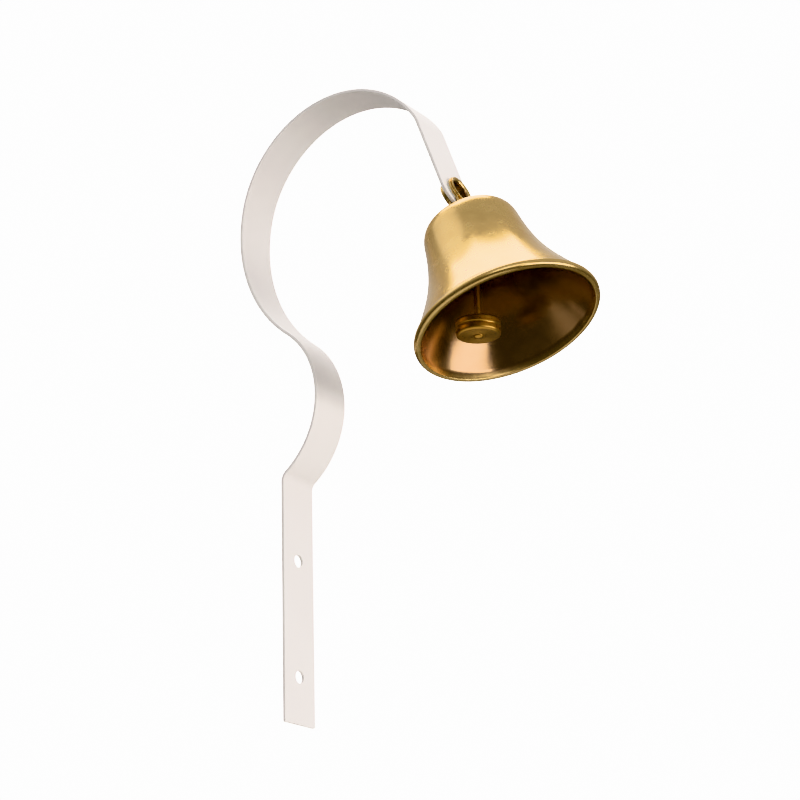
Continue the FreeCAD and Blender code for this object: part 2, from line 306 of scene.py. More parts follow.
# %% [markdown]
# ## Lacquered brass
# The bell, its fork and its rivet are brass, polished and then sprayed with a clear lacquer.
# Under the lacquer the metal is a soft gold with cloudy patches a few millimetres wide, where
# the buffing wheel bit more or less, and fine lines that run round the piece. The lacquer is
# the shader's coat: it lays a pale sheen over the gold. Inside, the gold gives way to a dark
# brown, which is painted shade for the shade in the hollow. The UV's height tells the two apart,
# because it counts the rows of the section. On the bell they run from the crown over the lip and
# back inside, so everything above one height is inside. The rivet's rows start and end in its
# bore, so there the painted shade covers all that is far from the middle height, where the section
# folds back.

# %% Lacquered cast brass
CLOUD_MM = 7.0
BELL_LINES, FORK_LINES, RIVET_LINES = 420, 40, 20
# the rivet's bore and deep trumpet get painted shade from this distance to the section's fold on
RIVET_PAINTED_SHADE_FROM, RIVET_FOLD = 0.34, 0.5
GOLD_DARK, GOLD_LIGHT = "#A98748", "#C2A56C"
# dark browns of painted shade, for the inside of the bell and the rivet's bore
PAINTED_SHADE_DARK, PAINTED_SHADE_LIGHT = "#67461E", "#82633A"
METAL_EDGE = "#E2C078"


def lacquered_brass(name, lines_up, painted_shade_from=2.0, fold=0.0):
    """Polished brass with lines_up buffing lines up the UV.

    It is a dark brown of painted shade where the UV's height is further than the shade's start
    from the height fold.
    """
    material, tree, shader = new_material(name)
    coordinates = add_node(tree, "ShaderNodeTexCoord", {})
    clouds = add_node(tree, "ShaderNodeTexNoise",
                      {"Vector": coordinates.outputs["Object"], "Scale": 1 / (CLOUD_MM * MM),
                       "Detail": 4.0, "Roughness": 0.6}).outputs["Fac"]
    stretched = add_node(tree, "ShaderNodeMapping",
                         {"Vector": coordinates.outputs["UV"], "Scale": (6.0, lines_up, 1.0)})
    lines = add_node(tree, "ShaderNodeTexNoise",
                     {"Vector": stretched.outputs["Vector"], "Scale": 1.0, "Detail": 2.0})
    row = add_node(tree, "ShaderNodeSeparateXYZ", {0: coordinates.outputs["UV"]}).outputs["Y"]
    from_fold = add_node(tree, "ShaderNodeMath", {0: row, 1: fold}, operation="SUBTRACT")
    depth = add_node(tree, "ShaderNodeMath", {0: from_fold.outputs["Value"]}, operation="ABSOLUTE")
    # mask of the inside, where a dark brown of painted shade takes the place of the gold
    inside_painted_shade = add_node(tree, "ShaderNodeMapRange",
                         {"Value": depth.outputs["Value"], "From Min": painted_shade_from - 0.004,
                          "From Max": painted_shade_from + 0.012}).outputs["Result"]
    gold = mix_colours(tree, clouds, GOLD_DARK, GOLD_LIGHT)
    painted_shade_brown = mix_colours(tree, clouds, PAINTED_SHADE_DARK, PAINTED_SHADE_LIGHT)
    cloudy = add_node(tree, "ShaderNodeMapRange",
                      {"Value": clouds, "From Min": 0.3, "From Max": 0.7,
                       "To Min": 0.22, "To Max": 0.30}).outputs["Result"]
    gloss = add_node(tree, "ShaderNodeMath", {0: inside_painted_shade, 1: -0.06, 2: cloudy},
                     operation="MULTIPLY_ADD")
    grain = add_node(tree, "ShaderNodeBump",
                     {"Height": lines.outputs["Fac"], "Strength": 0.08, "Distance": 0.02 * MM})
    feed(tree, shader, Base_Color=mix_colours(tree, inside_painted_shade, gold, painted_shade_brown), Metallic=1.0,
         Roughness=gloss.outputs["Value"], Normal=grain.outputs["Normal"],
         Specular_Tint=linear(METAL_EDGE), Coat_Weight=1.0, Coat_Roughness=0.2, Coat_IOR=1.5)
    return material


FORK_BRASS = lacquered_brass("lacquered_cast_brass_fork", FORK_LINES)
RIVET_BRASS = lacquered_brass("lacquered_brass_tube_flared", RIVET_LINES,
                              RIVET_PAINTED_SHADE_FROM, RIVET_FOLD)

# %% [markdown]
# ## Plain metals and nylon
# The clapper, its link and its eyebolt are turned and drawn brass with no lacquer, so they are
# a little duller. Nut and washer are zinc plated steel, whose plating has a fine spangle. The
# two thin washers beside the strip are natural nylon, slightly see-through at the edge, which
# a little subsurface light gives.

# %% Drawn brass, zinc plate and nylon
GRAIN_SPREAD = 0.08
NYLON_DARK, NYLON_LIGHT, NYLON_MOTTLE_MM = "#DCD8CB", "#E9E6DC", 1.5


def bare_metal(name, dark, light, rough, grain_mm):
    """Metal with a fine grain that changes both its colour and its roughness a little."""
    material, tree, shader = new_material(name)
    place = add_node(tree, "ShaderNodeTexCoord", {}).outputs["Object"]
    grain = add_node(tree, "ShaderNodeTexNoise",
                     {"Vector": place, "Scale": 1 / (grain_mm * MM), "Detail": 3.0})
    colour = mix_colours(tree, grain.outputs["Fac"], dark, light)
    gloss = add_node(tree, "ShaderNodeMapRange",
                     {"Value": grain.outputs["Fac"], "To Min": rough - GRAIN_SPREAD,
                      "To Max": rough + GRAIN_SPREAD})
    bump = add_node(tree, "ShaderNodeBump",
                    {"Height": grain.outputs["Fac"], "Strength": 0.2, "Distance": 0.02 * MM})
    feed(tree, shader, Base_Color=colour, Metallic=1.0,
         Roughness=gloss.outputs["Result"], Normal=bump.outputs["Normal"])
    return material


def nylon():
    material, tree, shader = new_material("natural_nylon_punched")
    place = add_node(tree, "ShaderNodeTexCoord", {}).outputs["Object"]
    mottle = add_node(tree, "ShaderNodeTexNoise",
                      {"Vector": place, "Scale": 1 / (NYLON_MOTTLE_MM * MM)})
    colour = mix_colours(tree, mottle.outputs["Fac"], NYLON_DARK, NYLON_LIGHT)
    feed(tree, shader, Base_Color=colour, Roughness=0.5, IOR=1.53,
         Subsurface_Weight=0.15, Subsurface_Scale=0.5 * MM)
    return material


CLAPPER_BRASS = bare_metal("turned_and_drawn_brass", "#946F38", "#B0884C", 0.30, 1.2)
ZINC_PLATE = bare_metal("zinc_plated_steel", "#9A9C9E", "#BFC1C2", 0.36, 0.9)
NYLON = nylon()

# %% [markdown]
# ## The strip: a flat blank, then a bend
# A real bracket is punched flat and bent afterwards, and the mesh is made in the same order.
# First comes a flat blank in the coordinates s along the strip, v across it and w through its
# thickness, with its holes and its rounded edge. Then one function bends all its points. The
# heading changes steadily along each arc, so the way along an arc of length d and curvature k
# is a chord: its length is d times sin(kd/2) / (kd/2), in the direction half way round.

# %% The bend
STRIP_WIDTH, STRIP_THICK = 19.0, 1.5
SCREW_SPACING, SCREW_HOLE_R = 47.0, 2.5
FLANGE_BELOW_HOLE = 19.0
PIVOT_HOLE_R = 5.0
ROUND_END_ABOVE_PIVOT = 2.0
TAIL_TO_PIVOT = 34.2
PATH_PAST_PIVOT = 20.0
# straight lengths, and arcs as radius and turn in degrees, from the flange's lower end
STRIP_PATH = [(97.1, 0.0), (4.75, 54.1), (36.95, -105.0), (2.0, 0.0),
              (62.3, 63.2), (48.6, 133.8), (19.0, 14.4), (TAIL_TO_PIVOT + PATH_PAST_PIVOT, 0.0)]


def path_table():
    """Start length, start heading, curvature and start place (x, z) of every piece."""
    rows, s, heading, place = [], 0.0, 0.0, np.array([STRIP_THICK / 2, 0.0])
    place[1] = -SCREW_SPACING / 2 - FLANGE_BELOW_HOLE
    for size, turn in STRIP_PATH:
        length = size if turn == 0 else size * math.radians(abs(turn))
        bend = math.radians(turn) / length
        rows.append((s, heading, bend, *place))
        middle = heading + bend * length / 2
        chord = length * np.sinc(bend * length / 2 / np.pi)
        place = place + chord * np.array([math.sin(middle), math.cos(middle)])
        s, heading = s + length, heading + bend * length
    return np.array(rows)


PATH = path_table()
PIVOT_S = PATH[-1, 0] + TAIL_TO_PIVOT
TIP_S = PIVOT_S - ROUND_END_ABOVE_PIVOT


def bend_blank(blank):
    """Carry flat points (s, v, w) onto the bent strip: w is measured along its front side."""
    s, v, w = np.moveaxis(blank, -1, 0)
    piece = np.clip(np.searchsorted(PATH[:, 0], s, side="right") - 1, 0, len(PATH) - 1)
    start, heading, bend, x, z = np.moveaxis(PATH[piece], -1, 0)
    way = s - start
    middle = heading + bend * way / 2
    chord = way * np.sinc(bend * way / 2 / np.pi)
    end = heading + bend * way
    return np.stack([x + chord * np.sin(middle) + w * np.cos(end), v,
                     z + chord * np.cos(middle) - w * np.sin(end)], axis=-1)


print("strip is", round(PIVOT_S, 1), "mm long to the pivot, which is off by",
      np.abs(bend_blank(np.array([PIVOT_S, 0, 0])) - pivot).max().round(5), "mm")

# %% [markdown]
# The blank is split into plain spans and square patches round the three holes. A patch runs
# from its square border over the face to the hole, through the hole and back over the other
# face, so it is one closed-up grid of loops. The rounded edge is a second kind of grid: the
# half round section carried once round the whole outline. All of them share border points.

# %% The flat blank
EDGE_R = 0.35
RIM_INSET = 0.8
ACROSS_STEPS = 14
TIP_POINTS, TIP_SIDE_POINTS, CORNER_POINTS = 37, 5, 7
FACE_HALF = STRIP_WIDTH / 2 - RIM_INSET
END_TOP = TIP_S - 7.0
STRAIGHT_STEP = 2.0
ARC_STEP_DEGREES = 2.0
PATCH_RINGS, PATCH_SPREAD = 4, 0.8


def edge_section(count=7):
    """Outset and height of the rolled edge, from the front face to the back face.

    Each corner of the sheet is a quarter round of radius EDGE_R.
    """
    top, out = STRIP_THICK / 2 - EDGE_R, RIM_INSET - EDGE_R
    front = arc((out, top), EDGE_R, 90, 0, count)
    back = arc((out, -top), EDGE_R, 0, -90, count)
    return chain(line((0, STRIP_THICK / 2), front[0]), front, line(front[-1], back[0]), back,
                 line(back[-1], (0, -STRIP_THICK / 2)))


def hole_patch(border, centre_s, radius):
    """Loops from a border, given as (s, v) points that go round it, into a hole and back.

    Point by point, the faces blend from the border to a circle; the hole's own edge is rolled.
    """
    way = border - np.array([centre_s, 0])
    angle = np.arctan2(way[:, 1], way[:, 0])
    circle = np.stack([np.cos(angle), np.sin(angle)], axis=1)
    ring_r = radius + EDGE_R
    top = STRIP_THICK / 2 - EDGE_R
    rolled = chain(arc((ring_r, top), EDGE_R, 90, 180, 6),
                   arc((ring_r, -top), EDGE_R, 180, 270, 6))
    inner = centre_s * np.array([1, 0]) + rolled[:, None, :1] * circle
    inner = with_height(inner, rolled[:, 1])
    share = np.linspace(0, 1, PATCH_RINGS + 1)[:-1, None, None] ** PATCH_SPREAD
    rings = []
    for height, edge in ((STRIP_THICK / 2, inner[0]), (-STRIP_THICK / 2, inner[-1])):
        outer = with_height(border[None], [height])[0]
        rings.append(outer + share * (edge - outer))
    return np.concatenate([rings[0], inner, rings[1][::-1]])


def square_border(centre_s):
    """The border of a square patch, ACROSS_STEPS points to a side, all the way round."""
    a = FACE_HALF
    corners = [(-a, -a), (a, -a), (a, a), (-a, a), (-a, -a)]
    sides = [line(p, q, ACROSS_STEPS + 1) for p, q in zip(corners, corners[1:])]
    return chain(*sides)[:-1] + np.array([centre_s, 0])


def end_border():
    """The border round the pivot hole: straight across, then down, round the end and up."""
    across = line((END_TOP, FACE_HALF), (END_TOP, -FACE_HALF), ACROSS_STEPS + 1)
    down = line((END_TOP, -FACE_HALF), (TIP_S, -FACE_HALF), TIP_SIDE_POINTS)
    tip = arc((TIP_S, 0), FACE_HALF, -90, 90, TIP_POINTS)
    return chain(across, down, tip, down[::-1] * np.array([1, -1]))[:-1]


def spans(edges):
    """Values of s for the plain spans, close together in the arcs and wide in the straights."""
    marks = []
    for start, end in edges:
        inside = PATH[(PATH[:, 0] > start) & (PATH[:, 0] < end), 0]
        stops = np.concatenate([[start], inside, [end]])
        pieces = []
        for a, b in zip(stops, stops[1:]):
            bend = abs(PATH[np.searchsorted(PATH[:, 0], a, side="right") - 1, 2])
            turn_steps = math.degrees(bend * (b - a)) / ARC_STEP_DEGREES
            steps = int(max(turn_steps, (b - a) / STRAIGHT_STEP)) + 1
            pieces.append(np.linspace(a, b, steps + 1))
        marks.append(np.concatenate([pieces[0]] + [p[1:] for p in pieces[1:]]))
    return marks


screw_s = [FLANGE_BELOW_HOLE, FLANGE_BELOW_HOLE + SCREW_SPACING]
patch_ends = [(s - FACE_HALF, s + FACE_HALF) for s in screw_s]
plain = spans([(RIM_INSET, patch_ends[0][0]), (patch_ends[0][1], patch_ends[1][0]),
               (patch_ends[1][1], END_TOP)])
print("plain spans have", [len(p) for p in plain], "rows")

# %% [markdown]
# The rim needs the outline as one closed path with a direction that points outwards. At the
# flange's two lower corners the path stands still while that direction turns, which rounds
# the corner. Along the sides the path uses the same values of s as the faces do.

# %% The rolled rim, and the bent strip
def rim_path():
    """Points (s, v) and outward directions, once round the face, starting at the foot."""
    side_s = np.concatenate([plain[0], np.linspace(*patch_ends[0], ACROSS_STEPS + 1)[1:],
                             plain[1][1:], np.linspace(*patch_ends[1], ACROSS_STEPS + 1)[1:],
                             plain[2][1:]])
    side_s = np.concatenate([side_s, np.linspace(END_TOP, TIP_S, TIP_SIDE_POINTS)[1:]])
    foot = line((RIM_INSET, FACE_HALF), (RIM_INSET, -FACE_HALF), ACROSS_STEPS + 1)
    side = np.stack([side_s, np.full(len(side_s), -FACE_HALF)], axis=1)
    tip = arc((TIP_S, 0), FACE_HALF, -90, 90, TIP_POINTS)
    runs = [
        (foot, np.full(len(foot), 180.0)),
        (np.repeat(foot[-1:], CORNER_POINTS, axis=0), np.linspace(180, 270, CORNER_POINTS)),
        (side, np.full(len(side), 270.0)),
        (tip, np.linspace(270, 450, TIP_POINTS)),
        (side[::-1] * np.array([1, -1]), np.full(len(side), 90.0)),
        (np.repeat(foot[:1], CORNER_POINTS, axis=0), np.linspace(90, 180, CORNER_POINTS)),
    ]
    points = np.concatenate([run[0] for run in runs])
    angle = np.radians(np.concatenate([run[1] for run in runs]))
    return points, np.stack([np.cos(angle), np.sin(angle)], axis=1)


def flat_face(rows, height):
    """A plain span of face at one height: every s with every v."""
    s, v = np.meshgrid(rows, np.linspace(-FACE_HALF, FACE_HALF, ACROSS_STEPS + 1), indexing="ij")
    return np.stack([s, v, np.full_like(s, height)], axis=-1)


def strip_grids():
    rim_points, rim_out = rim_path()
    section = edge_section()
    rim = with_height(rim_points + section[:, None, :1] * rim_out, section[:, 1])
    grids = [(rim, False, True)]
    grids += [(hole_patch(square_border(s), s, SCREW_HOLE_R), False, True) for s in screw_s]
    grids += [(hole_patch(end_border(), PIVOT_S, PIVOT_HOLE_R), False, True)]
    for side in (1, -1):
        grids += [(flat_face(rows, side * STRIP_THICK / 2), False, False) for rows in plain]
    return [(bend_blank(grid), *wraps) for grid, *wraps in grids]


strip = build_piece("coated_strip", strip_grids(), "bracket")
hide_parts("bracket_strip")
dress(strip, WHITE_COAT)

# %% [markdown]
# ## The bell
# A bell is cast, then turned on a lathe, so it is a surface of revolution: one closed half
# section carried round its axis. Outside it runs from the flat on the crown over the domed
# shoulder, down the waist and out along the flare to a raised lip. Inside it follows the
# outside one wall thickness away. The handles of the inner curves are those of the outer ones,
# moved square to them, so the two cannot drift apart.

# %% The bell's section
CROWN_HEIGHT, CROWN_THICK, CROWN_PAD_R, CROWN_HOLE_R = 53.5, 2.9, 6.4, 3.0
WAIST_R, WAIST_HEIGHT, WAIST_SLOPE, WAIST_REACH = 20.0, 44.5, 0.14, 20.0
SHOULDER_REACH, SHOULDER_DROP = 13.8, 9.0
CREASE_R, CREASE_HEIGHT, FLARE_SLOPE, FLARE_REACH = 36.3, 3.9, 0.6, 12.5
LIP_R, LIP_TOP_R, LIP_TOP_HEIGHT = 37.8, 37.0, 3.4
LIP_MID_HEIGHT, LIP_FLAT_R, MOUTH_R = 1.7, 36.9, 35.4
WALL = 2.2
PAD_EDGE_R, MOUTH_EDGE_R = 0.25, 0.3


def inset(handles, depth):
    """Curve handles moved inwards: the first two square to the start, the others to the end."""
    start, end = handles[1] - handles[0], handles[3] - handles[2]
    inward = [np.array([way[1], -way[0]]) / np.hypot(*way) * depth for way in (start, end)]
    return handles + np.array([inward[0], inward[0], inward[1], inward[1]])


def arc_through(a, b, c, count):
    """Arc through three points: the centre is equally far from all of them."""
    a, b, c = np.array(a), np.array(b), np.array(c)
    centre = np.linalg.solve(2 * np.array([b - a, c - a]), [b @ b - a @ a, c @ c - a @ a])
    first, middle, last = [math.degrees(math.atan2(*(p - centre)[::-1])) for p in (a, b, c)]
    if not min(first, last) <= middle <= max(first, last):
        last += 360 if last < first else -360
    return arc(centre, np.hypot(*(a - centre)), first, last, count)


def bell_section():
    waist, crease = np.array([WAIST_R, WAIST_HEIGHT]), np.array([CREASE_R, CREASE_HEIGHT])
    down = np.array([WAIST_SLOPE, -1.0])
    dome = np.array([(0, CROWN_HEIGHT), (SHOULDER_REACH, CROWN_HEIGHT),
                     waist - down * SHOULDER_DROP, waist])
    flare = np.array([waist, waist + down * WAIST_REACH,
                      crease + np.array([-FLARE_SLOPE, 1.0]) * FLARE_REACH, crease])
    inner_dome, inner_flare = inset(dome, WALL), inset(flare, WALL)
    outer_top = curve(dome, 70)
    outer_top = outer_top[outer_top[:, 0] > CROWN_PAD_R + 0.1]
    inner_top = curve(inner_dome, 60)
    inner_top = inner_top[inner_top[:, 0] > CROWN_PAD_R + 0.1]
    pad_flat_r = CROWN_PAD_R - PAD_EDGE_R
    outside = np.concatenate([
        line((CROWN_HOLE_R, CROWN_HEIGHT), (pad_flat_r, CROWN_HEIGHT), 4),
        arc((pad_flat_r, CROWN_HEIGHT - PAD_EDGE_R), PAD_EDGE_R, 75, 0, 5),
        outer_top,
        curve(flare, 70)[1:-1],
        line(crease, (LIP_TOP_R, LIP_TOP_HEIGHT), 3),
        arc_through((LIP_TOP_R, LIP_TOP_HEIGHT), (LIP_R, LIP_MID_HEIGHT), (LIP_FLAT_R, 0), 16)[1:],
        arc((MOUTH_R + MOUTH_EDGE_R, MOUTH_EDGE_R), MOUTH_EDGE_R, 270, 200, 6),
    ])
    inside = np.concatenate([
        line((MOUTH_R - 0.1, 2 * MOUTH_EDGE_R), inner_flare[3], 5),
        curve(inner_flare[::-1], 60)[1:],
        inner_top[::-1][1:],
        line((CROWN_PAD_R, CROWN_HEIGHT - CROWN_THICK),
             (CROWN_HOLE_R, CROWN_HEIGHT - CROWN_THICK), 4),
    ])
    return outside, inside


BELL_TURNS = 224
outside, inside = bell_section()
# the bell's inside, painted in the shade brown, starts at this share of the UV's height
painted_shade_from = len(outside) / (len(outside) + len(inside))
bell_grid = in_bell_frame(revolve(np.concatenate([outside, inside]), BELL_TURNS))
bell = build_piece("bell", [(bell_grid, True, True)], "bell")
BELL_BRASS = lacquered_brass("lacquered_cast_brass_bell", BELL_LINES, painted_shade_from)
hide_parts("bell_shell")
dress(bell, BELL_BRASS)

# %% [markdown]
# ## Fork and rivet
# The fork that the bell hangs by has two ring lugs on a round base, with a short stem into the
# crown. Each lug is a plate with a hole: loops of points run over its front, round its rolled
# edge, over its back and through the hole, blending from its outline to a circle. The rivet is
# a brass tube that is flared over both lugs like a trumpet, so one can look into it.

# %% The fork
LUG_R, LUG_THICK, LUG_FOOT_HALF, LUG_EDGE_R = 6.6, 1.1, 4.8, 0.3
PIVOT_WASHER_THICK, SIDE_GAP = 0.4, 0.15
FORK_BASE_R, FORK_BASE_THICK, FORK_BASE_EDGE_R = 6.2, 1.0, 0.4
FORK_STEM_R, FORK_STEM_LENGTH = 2.9, 2.6
FORK_TURNS = 72
BOLT_R, RUNNING_GAP = 1.5, 0.05
LUG_INNER = STRIP_THICK / 2 + SIDE_GAP + PIVOT_WASHER_THICK
LUG_OUTER = LUG_INNER + LUG_THICK


def plate_with_hole(outline, hole_r, thick, edge_r):
    """Closed grid of loops (x, y, height) for a plate whose outline runs anticlockwise."""
    tangent = np.roll(outline, -1, axis=0) - np.roll(outline, 1, axis=0)
    out = np.stack([tangent[:, 1], -tangent[:, 0]], axis=1)
    out /= np.linalg.norm(out, axis=1, keepdims=True)
    angle = np.arctan2(outline[:, 1], outline[:, 0])
    circle = np.stack([np.cos(angle), np.sin(angle)], axis=1)
    top = thick / 2 - edge_r
    rim = chain(arc((-edge_r, top), edge_r, 90, 0, 6), arc((-edge_r, -top), edge_r, 0, -90, 6))
    rim_loops = outline + rim[:, None, :1] * out
    bore = chain(arc((hole_r + edge_r, -top), edge_r, 270, 180, 6),
                 arc((hole_r + edge_r, top), edge_r, 180, 90, 6))
    bore_loops = bore[:, None, :1] * circle
    share = np.linspace(0, 1, 6)[1:-1, None, None]
    back = rim_loops[-1] + share * (bore_loops[0] - rim_loops[-1])
    front = bore_loops[-1] + share * (rim_loops[0] - bore_loops[-1])
    flat = np.concatenate([rim_loops, back, bore_loops, front])
    height = np.concatenate([rim[:, 1], np.full(len(back), -thick / 2), bore[:, 1],
                             np.full(len(front), thick / 2)])
    return with_height(flat, height)


def lug_outline():
    """A ring's outline on two upright sides, in (y, z) from the pivot, anticlockwise."""
    foot = -(PIVOT_ABOVE_MOUTH - CROWN_HEIGHT)
    lean = math.degrees(math.acos(LUG_FOOT_HALF / LUG_R))
    shoulder = -LUG_R * math.sin(math.radians(lean))
    return np.concatenate([
        line((-LUG_FOOT_HALF, foot), (LUG_FOOT_HALF, foot), 13)[:-1],
        line((LUG_FOOT_HALF, foot), (LUG_FOOT_HALF, shoulder), 9)[:-1],
        arc((0, 0), LUG_R, -lean, 180 + lean, 49)[:-1],
        line((-LUG_FOOT_HALF, shoulder), (-LUG_FOOT_HALF, foot), 9)[:-1],
    ])


def fork_grids():
    grids = []
    flat = plate_with_hole(lug_outline(), PIVOT_HOLE_R, LUG_THICK, LUG_EDGE_R)
    y, z, x = np.moveaxis(flat, -1, 0)
    for side in (-1, 1):
        lug = np.stack([x + side * (LUG_INNER + LUG_THICK / 2), y, z + PIVOT_ABOVE_MOUTH], -1)
        grids.append((in_bell_frame(lug), True, True))
    top = CROWN_HEIGHT + FORK_BASE_THICK
    bore = BOLT_R + RUNNING_GAP
    base = np.concatenate([
        line((bore, top), (FORK_BASE_R - FORK_BASE_EDGE_R, top), 6),
        arc((FORK_BASE_R - FORK_BASE_EDGE_R, top - FORK_BASE_EDGE_R), FORK_BASE_EDGE_R, 75, 0, 6),
        [(FORK_BASE_R, CROWN_HEIGHT), (FORK_STEM_R, CROWN_HEIGHT),
         (FORK_STEM_R, CROWN_HEIGHT - FORK_STEM_LENGTH), (bore, CROWN_HEIGHT - FORK_STEM_LENGTH)],
    ])
    grids.append((in_bell_frame(revolve(base, FORK_TURNS)), True, True))
    return grids


fork = build_piece("ring_lug_fork", fork_grids(), "bell")
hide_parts("hanger_fork")
dress(fork, FORK_BRASS)

# %% The flared rivet
RIVET_BORE_R, RIVET_FLARE_R, RIVET_MOUTH_R = 4.4, 6.2, 5.8
RIVET_FLARE_STAND, RIVET_THROAT_DEPTH = 0.8, 1.5
RIVET_TURNS = 80


def rivet_section():
    """Half section of the tube, mirrored about its middle: bore, trumpet, rolled rim, shank."""
    rim = LUG_OUTER + RIVET_FLARE_STAND
    roll = (RIVET_FLARE_R - RIVET_MOUTH_R) / 2
    shank = PIVOT_HOLE_R - RUNNING_GAP
    half = np.concatenate([
        line((RIVET_BORE_R, 0), (RIVET_BORE_R, rim - RIVET_THROAT_DEPTH), 4),
        curve([(RIVET_BORE_R, rim - RIVET_THROAT_DEPTH), (RIVET_BORE_R, rim - 0.8),
               (RIVET_BORE_R + 0.6, rim - 0.2), (RIVET_MOUTH_R, rim)], 18)[1:],
        arc((RIVET_FLARE_R - roll, rim - roll), roll, 80, 0, 8),
        line((RIVET_FLARE_R, rim - roll - 0.1), (RIVET_FLARE_R - 0.15, LUG_OUTER + 0.01), 3),
        line((shank + 0.1, LUG_OUTER + 0.01), (shank, LUG_OUTER - 0.1), 2),
    ])
    return np.concatenate([half, half[::-1] * np.array([1, -1])])


rivet_grid = in_pivot_frame(revolve(rivet_section(), RIVET_TURNS))
rivet = build_piece("flared_rivet", [(rivet_grid, True, True)], "bell")
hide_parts("pivot_rivet")
dress(rivet, RIVET_BRASS)

# %% [markdown]
# ## Wires
# Eye, link and clapper rod are bent from brass wire. A wire is a circle carried along a path
# in one plane: at every point the circle lies square to the path, in the directions of the
# plane's normal and of what is square to both. Its ends are rounded over, by rings that shrink
# to a point.

# %% A wire along a path
WIRE_SIDES, WIRE_END_RINGS, WIRE_END_ROUND = 24, 6, 0.5


def wire(path, normal, radius):
    """Grid of path + radius (cos a times side + sin a times normal), with rounded ends."""
    tangent = np.gradient(path, axis=0)
    tangent /= np.linalg.norm(tangent, axis=1, keepdims=True)
    turn = np.radians(np.linspace(90, 0, WIRE_END_RINGS + 1))[:-1, None]
    bulge = WIRE_END_ROUND * radius
    heads = path[0] - tangent[0] * bulge * np.sin(turn) + tangent[0] * bulge
    tails = path[-1] + tangent[-1] * bulge * np.sin(turn) - tangent[-1] * bulge
    end_r = radius - bulge + bulge * np.cos(turn[:, 0])
    end_r[0] = 0.0
    points = np.concatenate([heads, path[1:-1], tails[::-1]])
    ways = np.concatenate([np.repeat(tangent[:1], WIRE_END_RINGS, 0), tangent[1:-1],
                           np.repeat(tangent[-1:], WIRE_END_RINGS, 0)])
    radii = np.concatenate([end_r, np.full(len(path) - 2, radius), end_r[::-1]])
    side = np.cross(ways, normal)
    angle = np.linspace(0, 2 * np.pi, WIRE_SIDES, endpoint=False)[:, None]
    around = side[:, None] * np.cos(angle) + np.asarray(normal) * np.sin(angle)
    return points[:, None] + radii[:, None, None] * around


def upright(path, origin):
    """Points (x, z) of a path put into the vertical plane through origin, facing y."""
    return np.stack([path[:, 0], 0 * path[:, 0], path[:, 1]], axis=1) + origin


# %% The link and the clapper
LINK_R, LINK_WIRE_R, ROD_EYE_R, ROD_R, WIRE_GAP = 3.6, 0.8, 3.2, 1.2, 0.2
WEIGHT_BELOW_SWING, WEIGHT_R, WEIGHT_HEIGHT = 29.0, 8.8, 6.4
WEIGHT_EDGE_R, WEIGHT_GROOVE_R = 1.1, 0.75
ROD_COLLAR_R, ROD_COLLAR_HEIGHT, PEEN_R, PEEN_HEIGHT = 2.0, 1.0, 2.0, 0.9
COLLAR_EDGE_R, COLLAR_TURNS = 0.3, 56
ROD_EYE_FIRST, ROD_EYE_LAST = -52, 250
ROD_NECK, ROD_NECK_HANDLE = 1.2, 0.9

link_centre = clapper_hinge + np.array([0, 0, LINK_R])
loop = arc((0, 0), LINK_R, -87, 267, 72)
link_path = np.stack([0 * loop[:, 0], loop[:, 0], loop[:, 1]], axis=1) + link_centre
link = build_piece("wire_link", [(wire(link_path, (1, 0, 0), LINK_WIRE_R), False, True)],
                   "link")
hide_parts("clapper_link")
dress(link, CLAPPER_BRASS)

rod_eye = clapper_hinge + np.array([0, 0, LINK_WIRE_R + ROD_R + WIRE_GAP - ROD_EYE_R])
weight_centre = clapper_hinge - np.array([0, 0, WEIGHT_BELOW_SWING])


def rod_path():
    """Up from the weight, a tight bend into the eye, and round until it meets the rod again."""
    first = math.radians(ROD_EYE_FIRST)
    start = np.array([math.cos(first), math.sin(first)]) * ROD_EYE_R
    along = np.array([-math.sin(first), math.cos(first)])
    neck = np.array([0.0, -ROD_EYE_R - ROD_NECK])
    foot = np.array([0.0, weight_centre[2] - rod_eye[2] - WEIGHT_HEIGHT / 2])
    bend = curve([neck, neck + (0, ROD_NECK_HANDLE), start - along * ROD_NECK_HANDLE, start], 10)
    return chain(line(foot, neck, 12), bend,
                 arc((0, 0), ROD_EYE_R, ROD_EYE_FIRST, ROD_EYE_LAST, 60))


def around_rod(profile, count):
    """A turned shape round the upright line through the weight's centre."""
    return revolve(profile, count) + weight_centre


half_height = WEIGHT_HEIGHT / 2
collar_flat_r, collar_side = ROD_COLLAR_R - COLLAR_EDGE_R, half_height + ROD_COLLAR_HEIGHT / 2
collar = chain(line((0, half_height), (ROD_COLLAR_R, half_height)),
               line((ROD_COLLAR_R, half_height), (ROD_COLLAR_R, collar_side)),
               arc((collar_flat_r, collar_side), COLLAR_EDGE_R, 0, 90, 6),
               line((collar_flat_r, half_height + ROD_COLLAR_HEIGHT),
                    (0, half_height + ROD_COLLAR_HEIGHT)))
peen = chain(line((0, -half_height), (PEEN_R, -half_height)),
             curve([(PEEN_R, -half_height), (PEEN_R, -half_height - 0.6),
                    (0.9, -half_height - PEEN_HEIGHT), (0, -half_height - PEEN_HEIGHT)], 14))
rod_grids = [(wire(upright(rod_path(), rod_eye), (0, 1, 0), ROD_R), False, True),
             (around_rod(collar, COLLAR_TURNS), False, True),
             (around_rod(peen, COLLAR_TURNS), False, True)]
rod = build_piece("clapper_wire_rod", rod_grids, "clapper")
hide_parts("clapper_rod")
dress(rod, CLAPPER_BRASS)

# %% [markdown]
# ## The weight and the eyebolt
# The weight is a short brass disc off a lathe: rounded edges, a groove round its middle, and
# shallow rings left in its faces by the tool. The eyebolt carries a real thread: the radius of
# its surface drops and rises once for every turn and every pitch of 0.5 mm.

# %% The weight
LATHE_RING_SPACING, LATHE_RING_DEPTH = 0.9, 0.03
WEIGHT_TURNS = 112


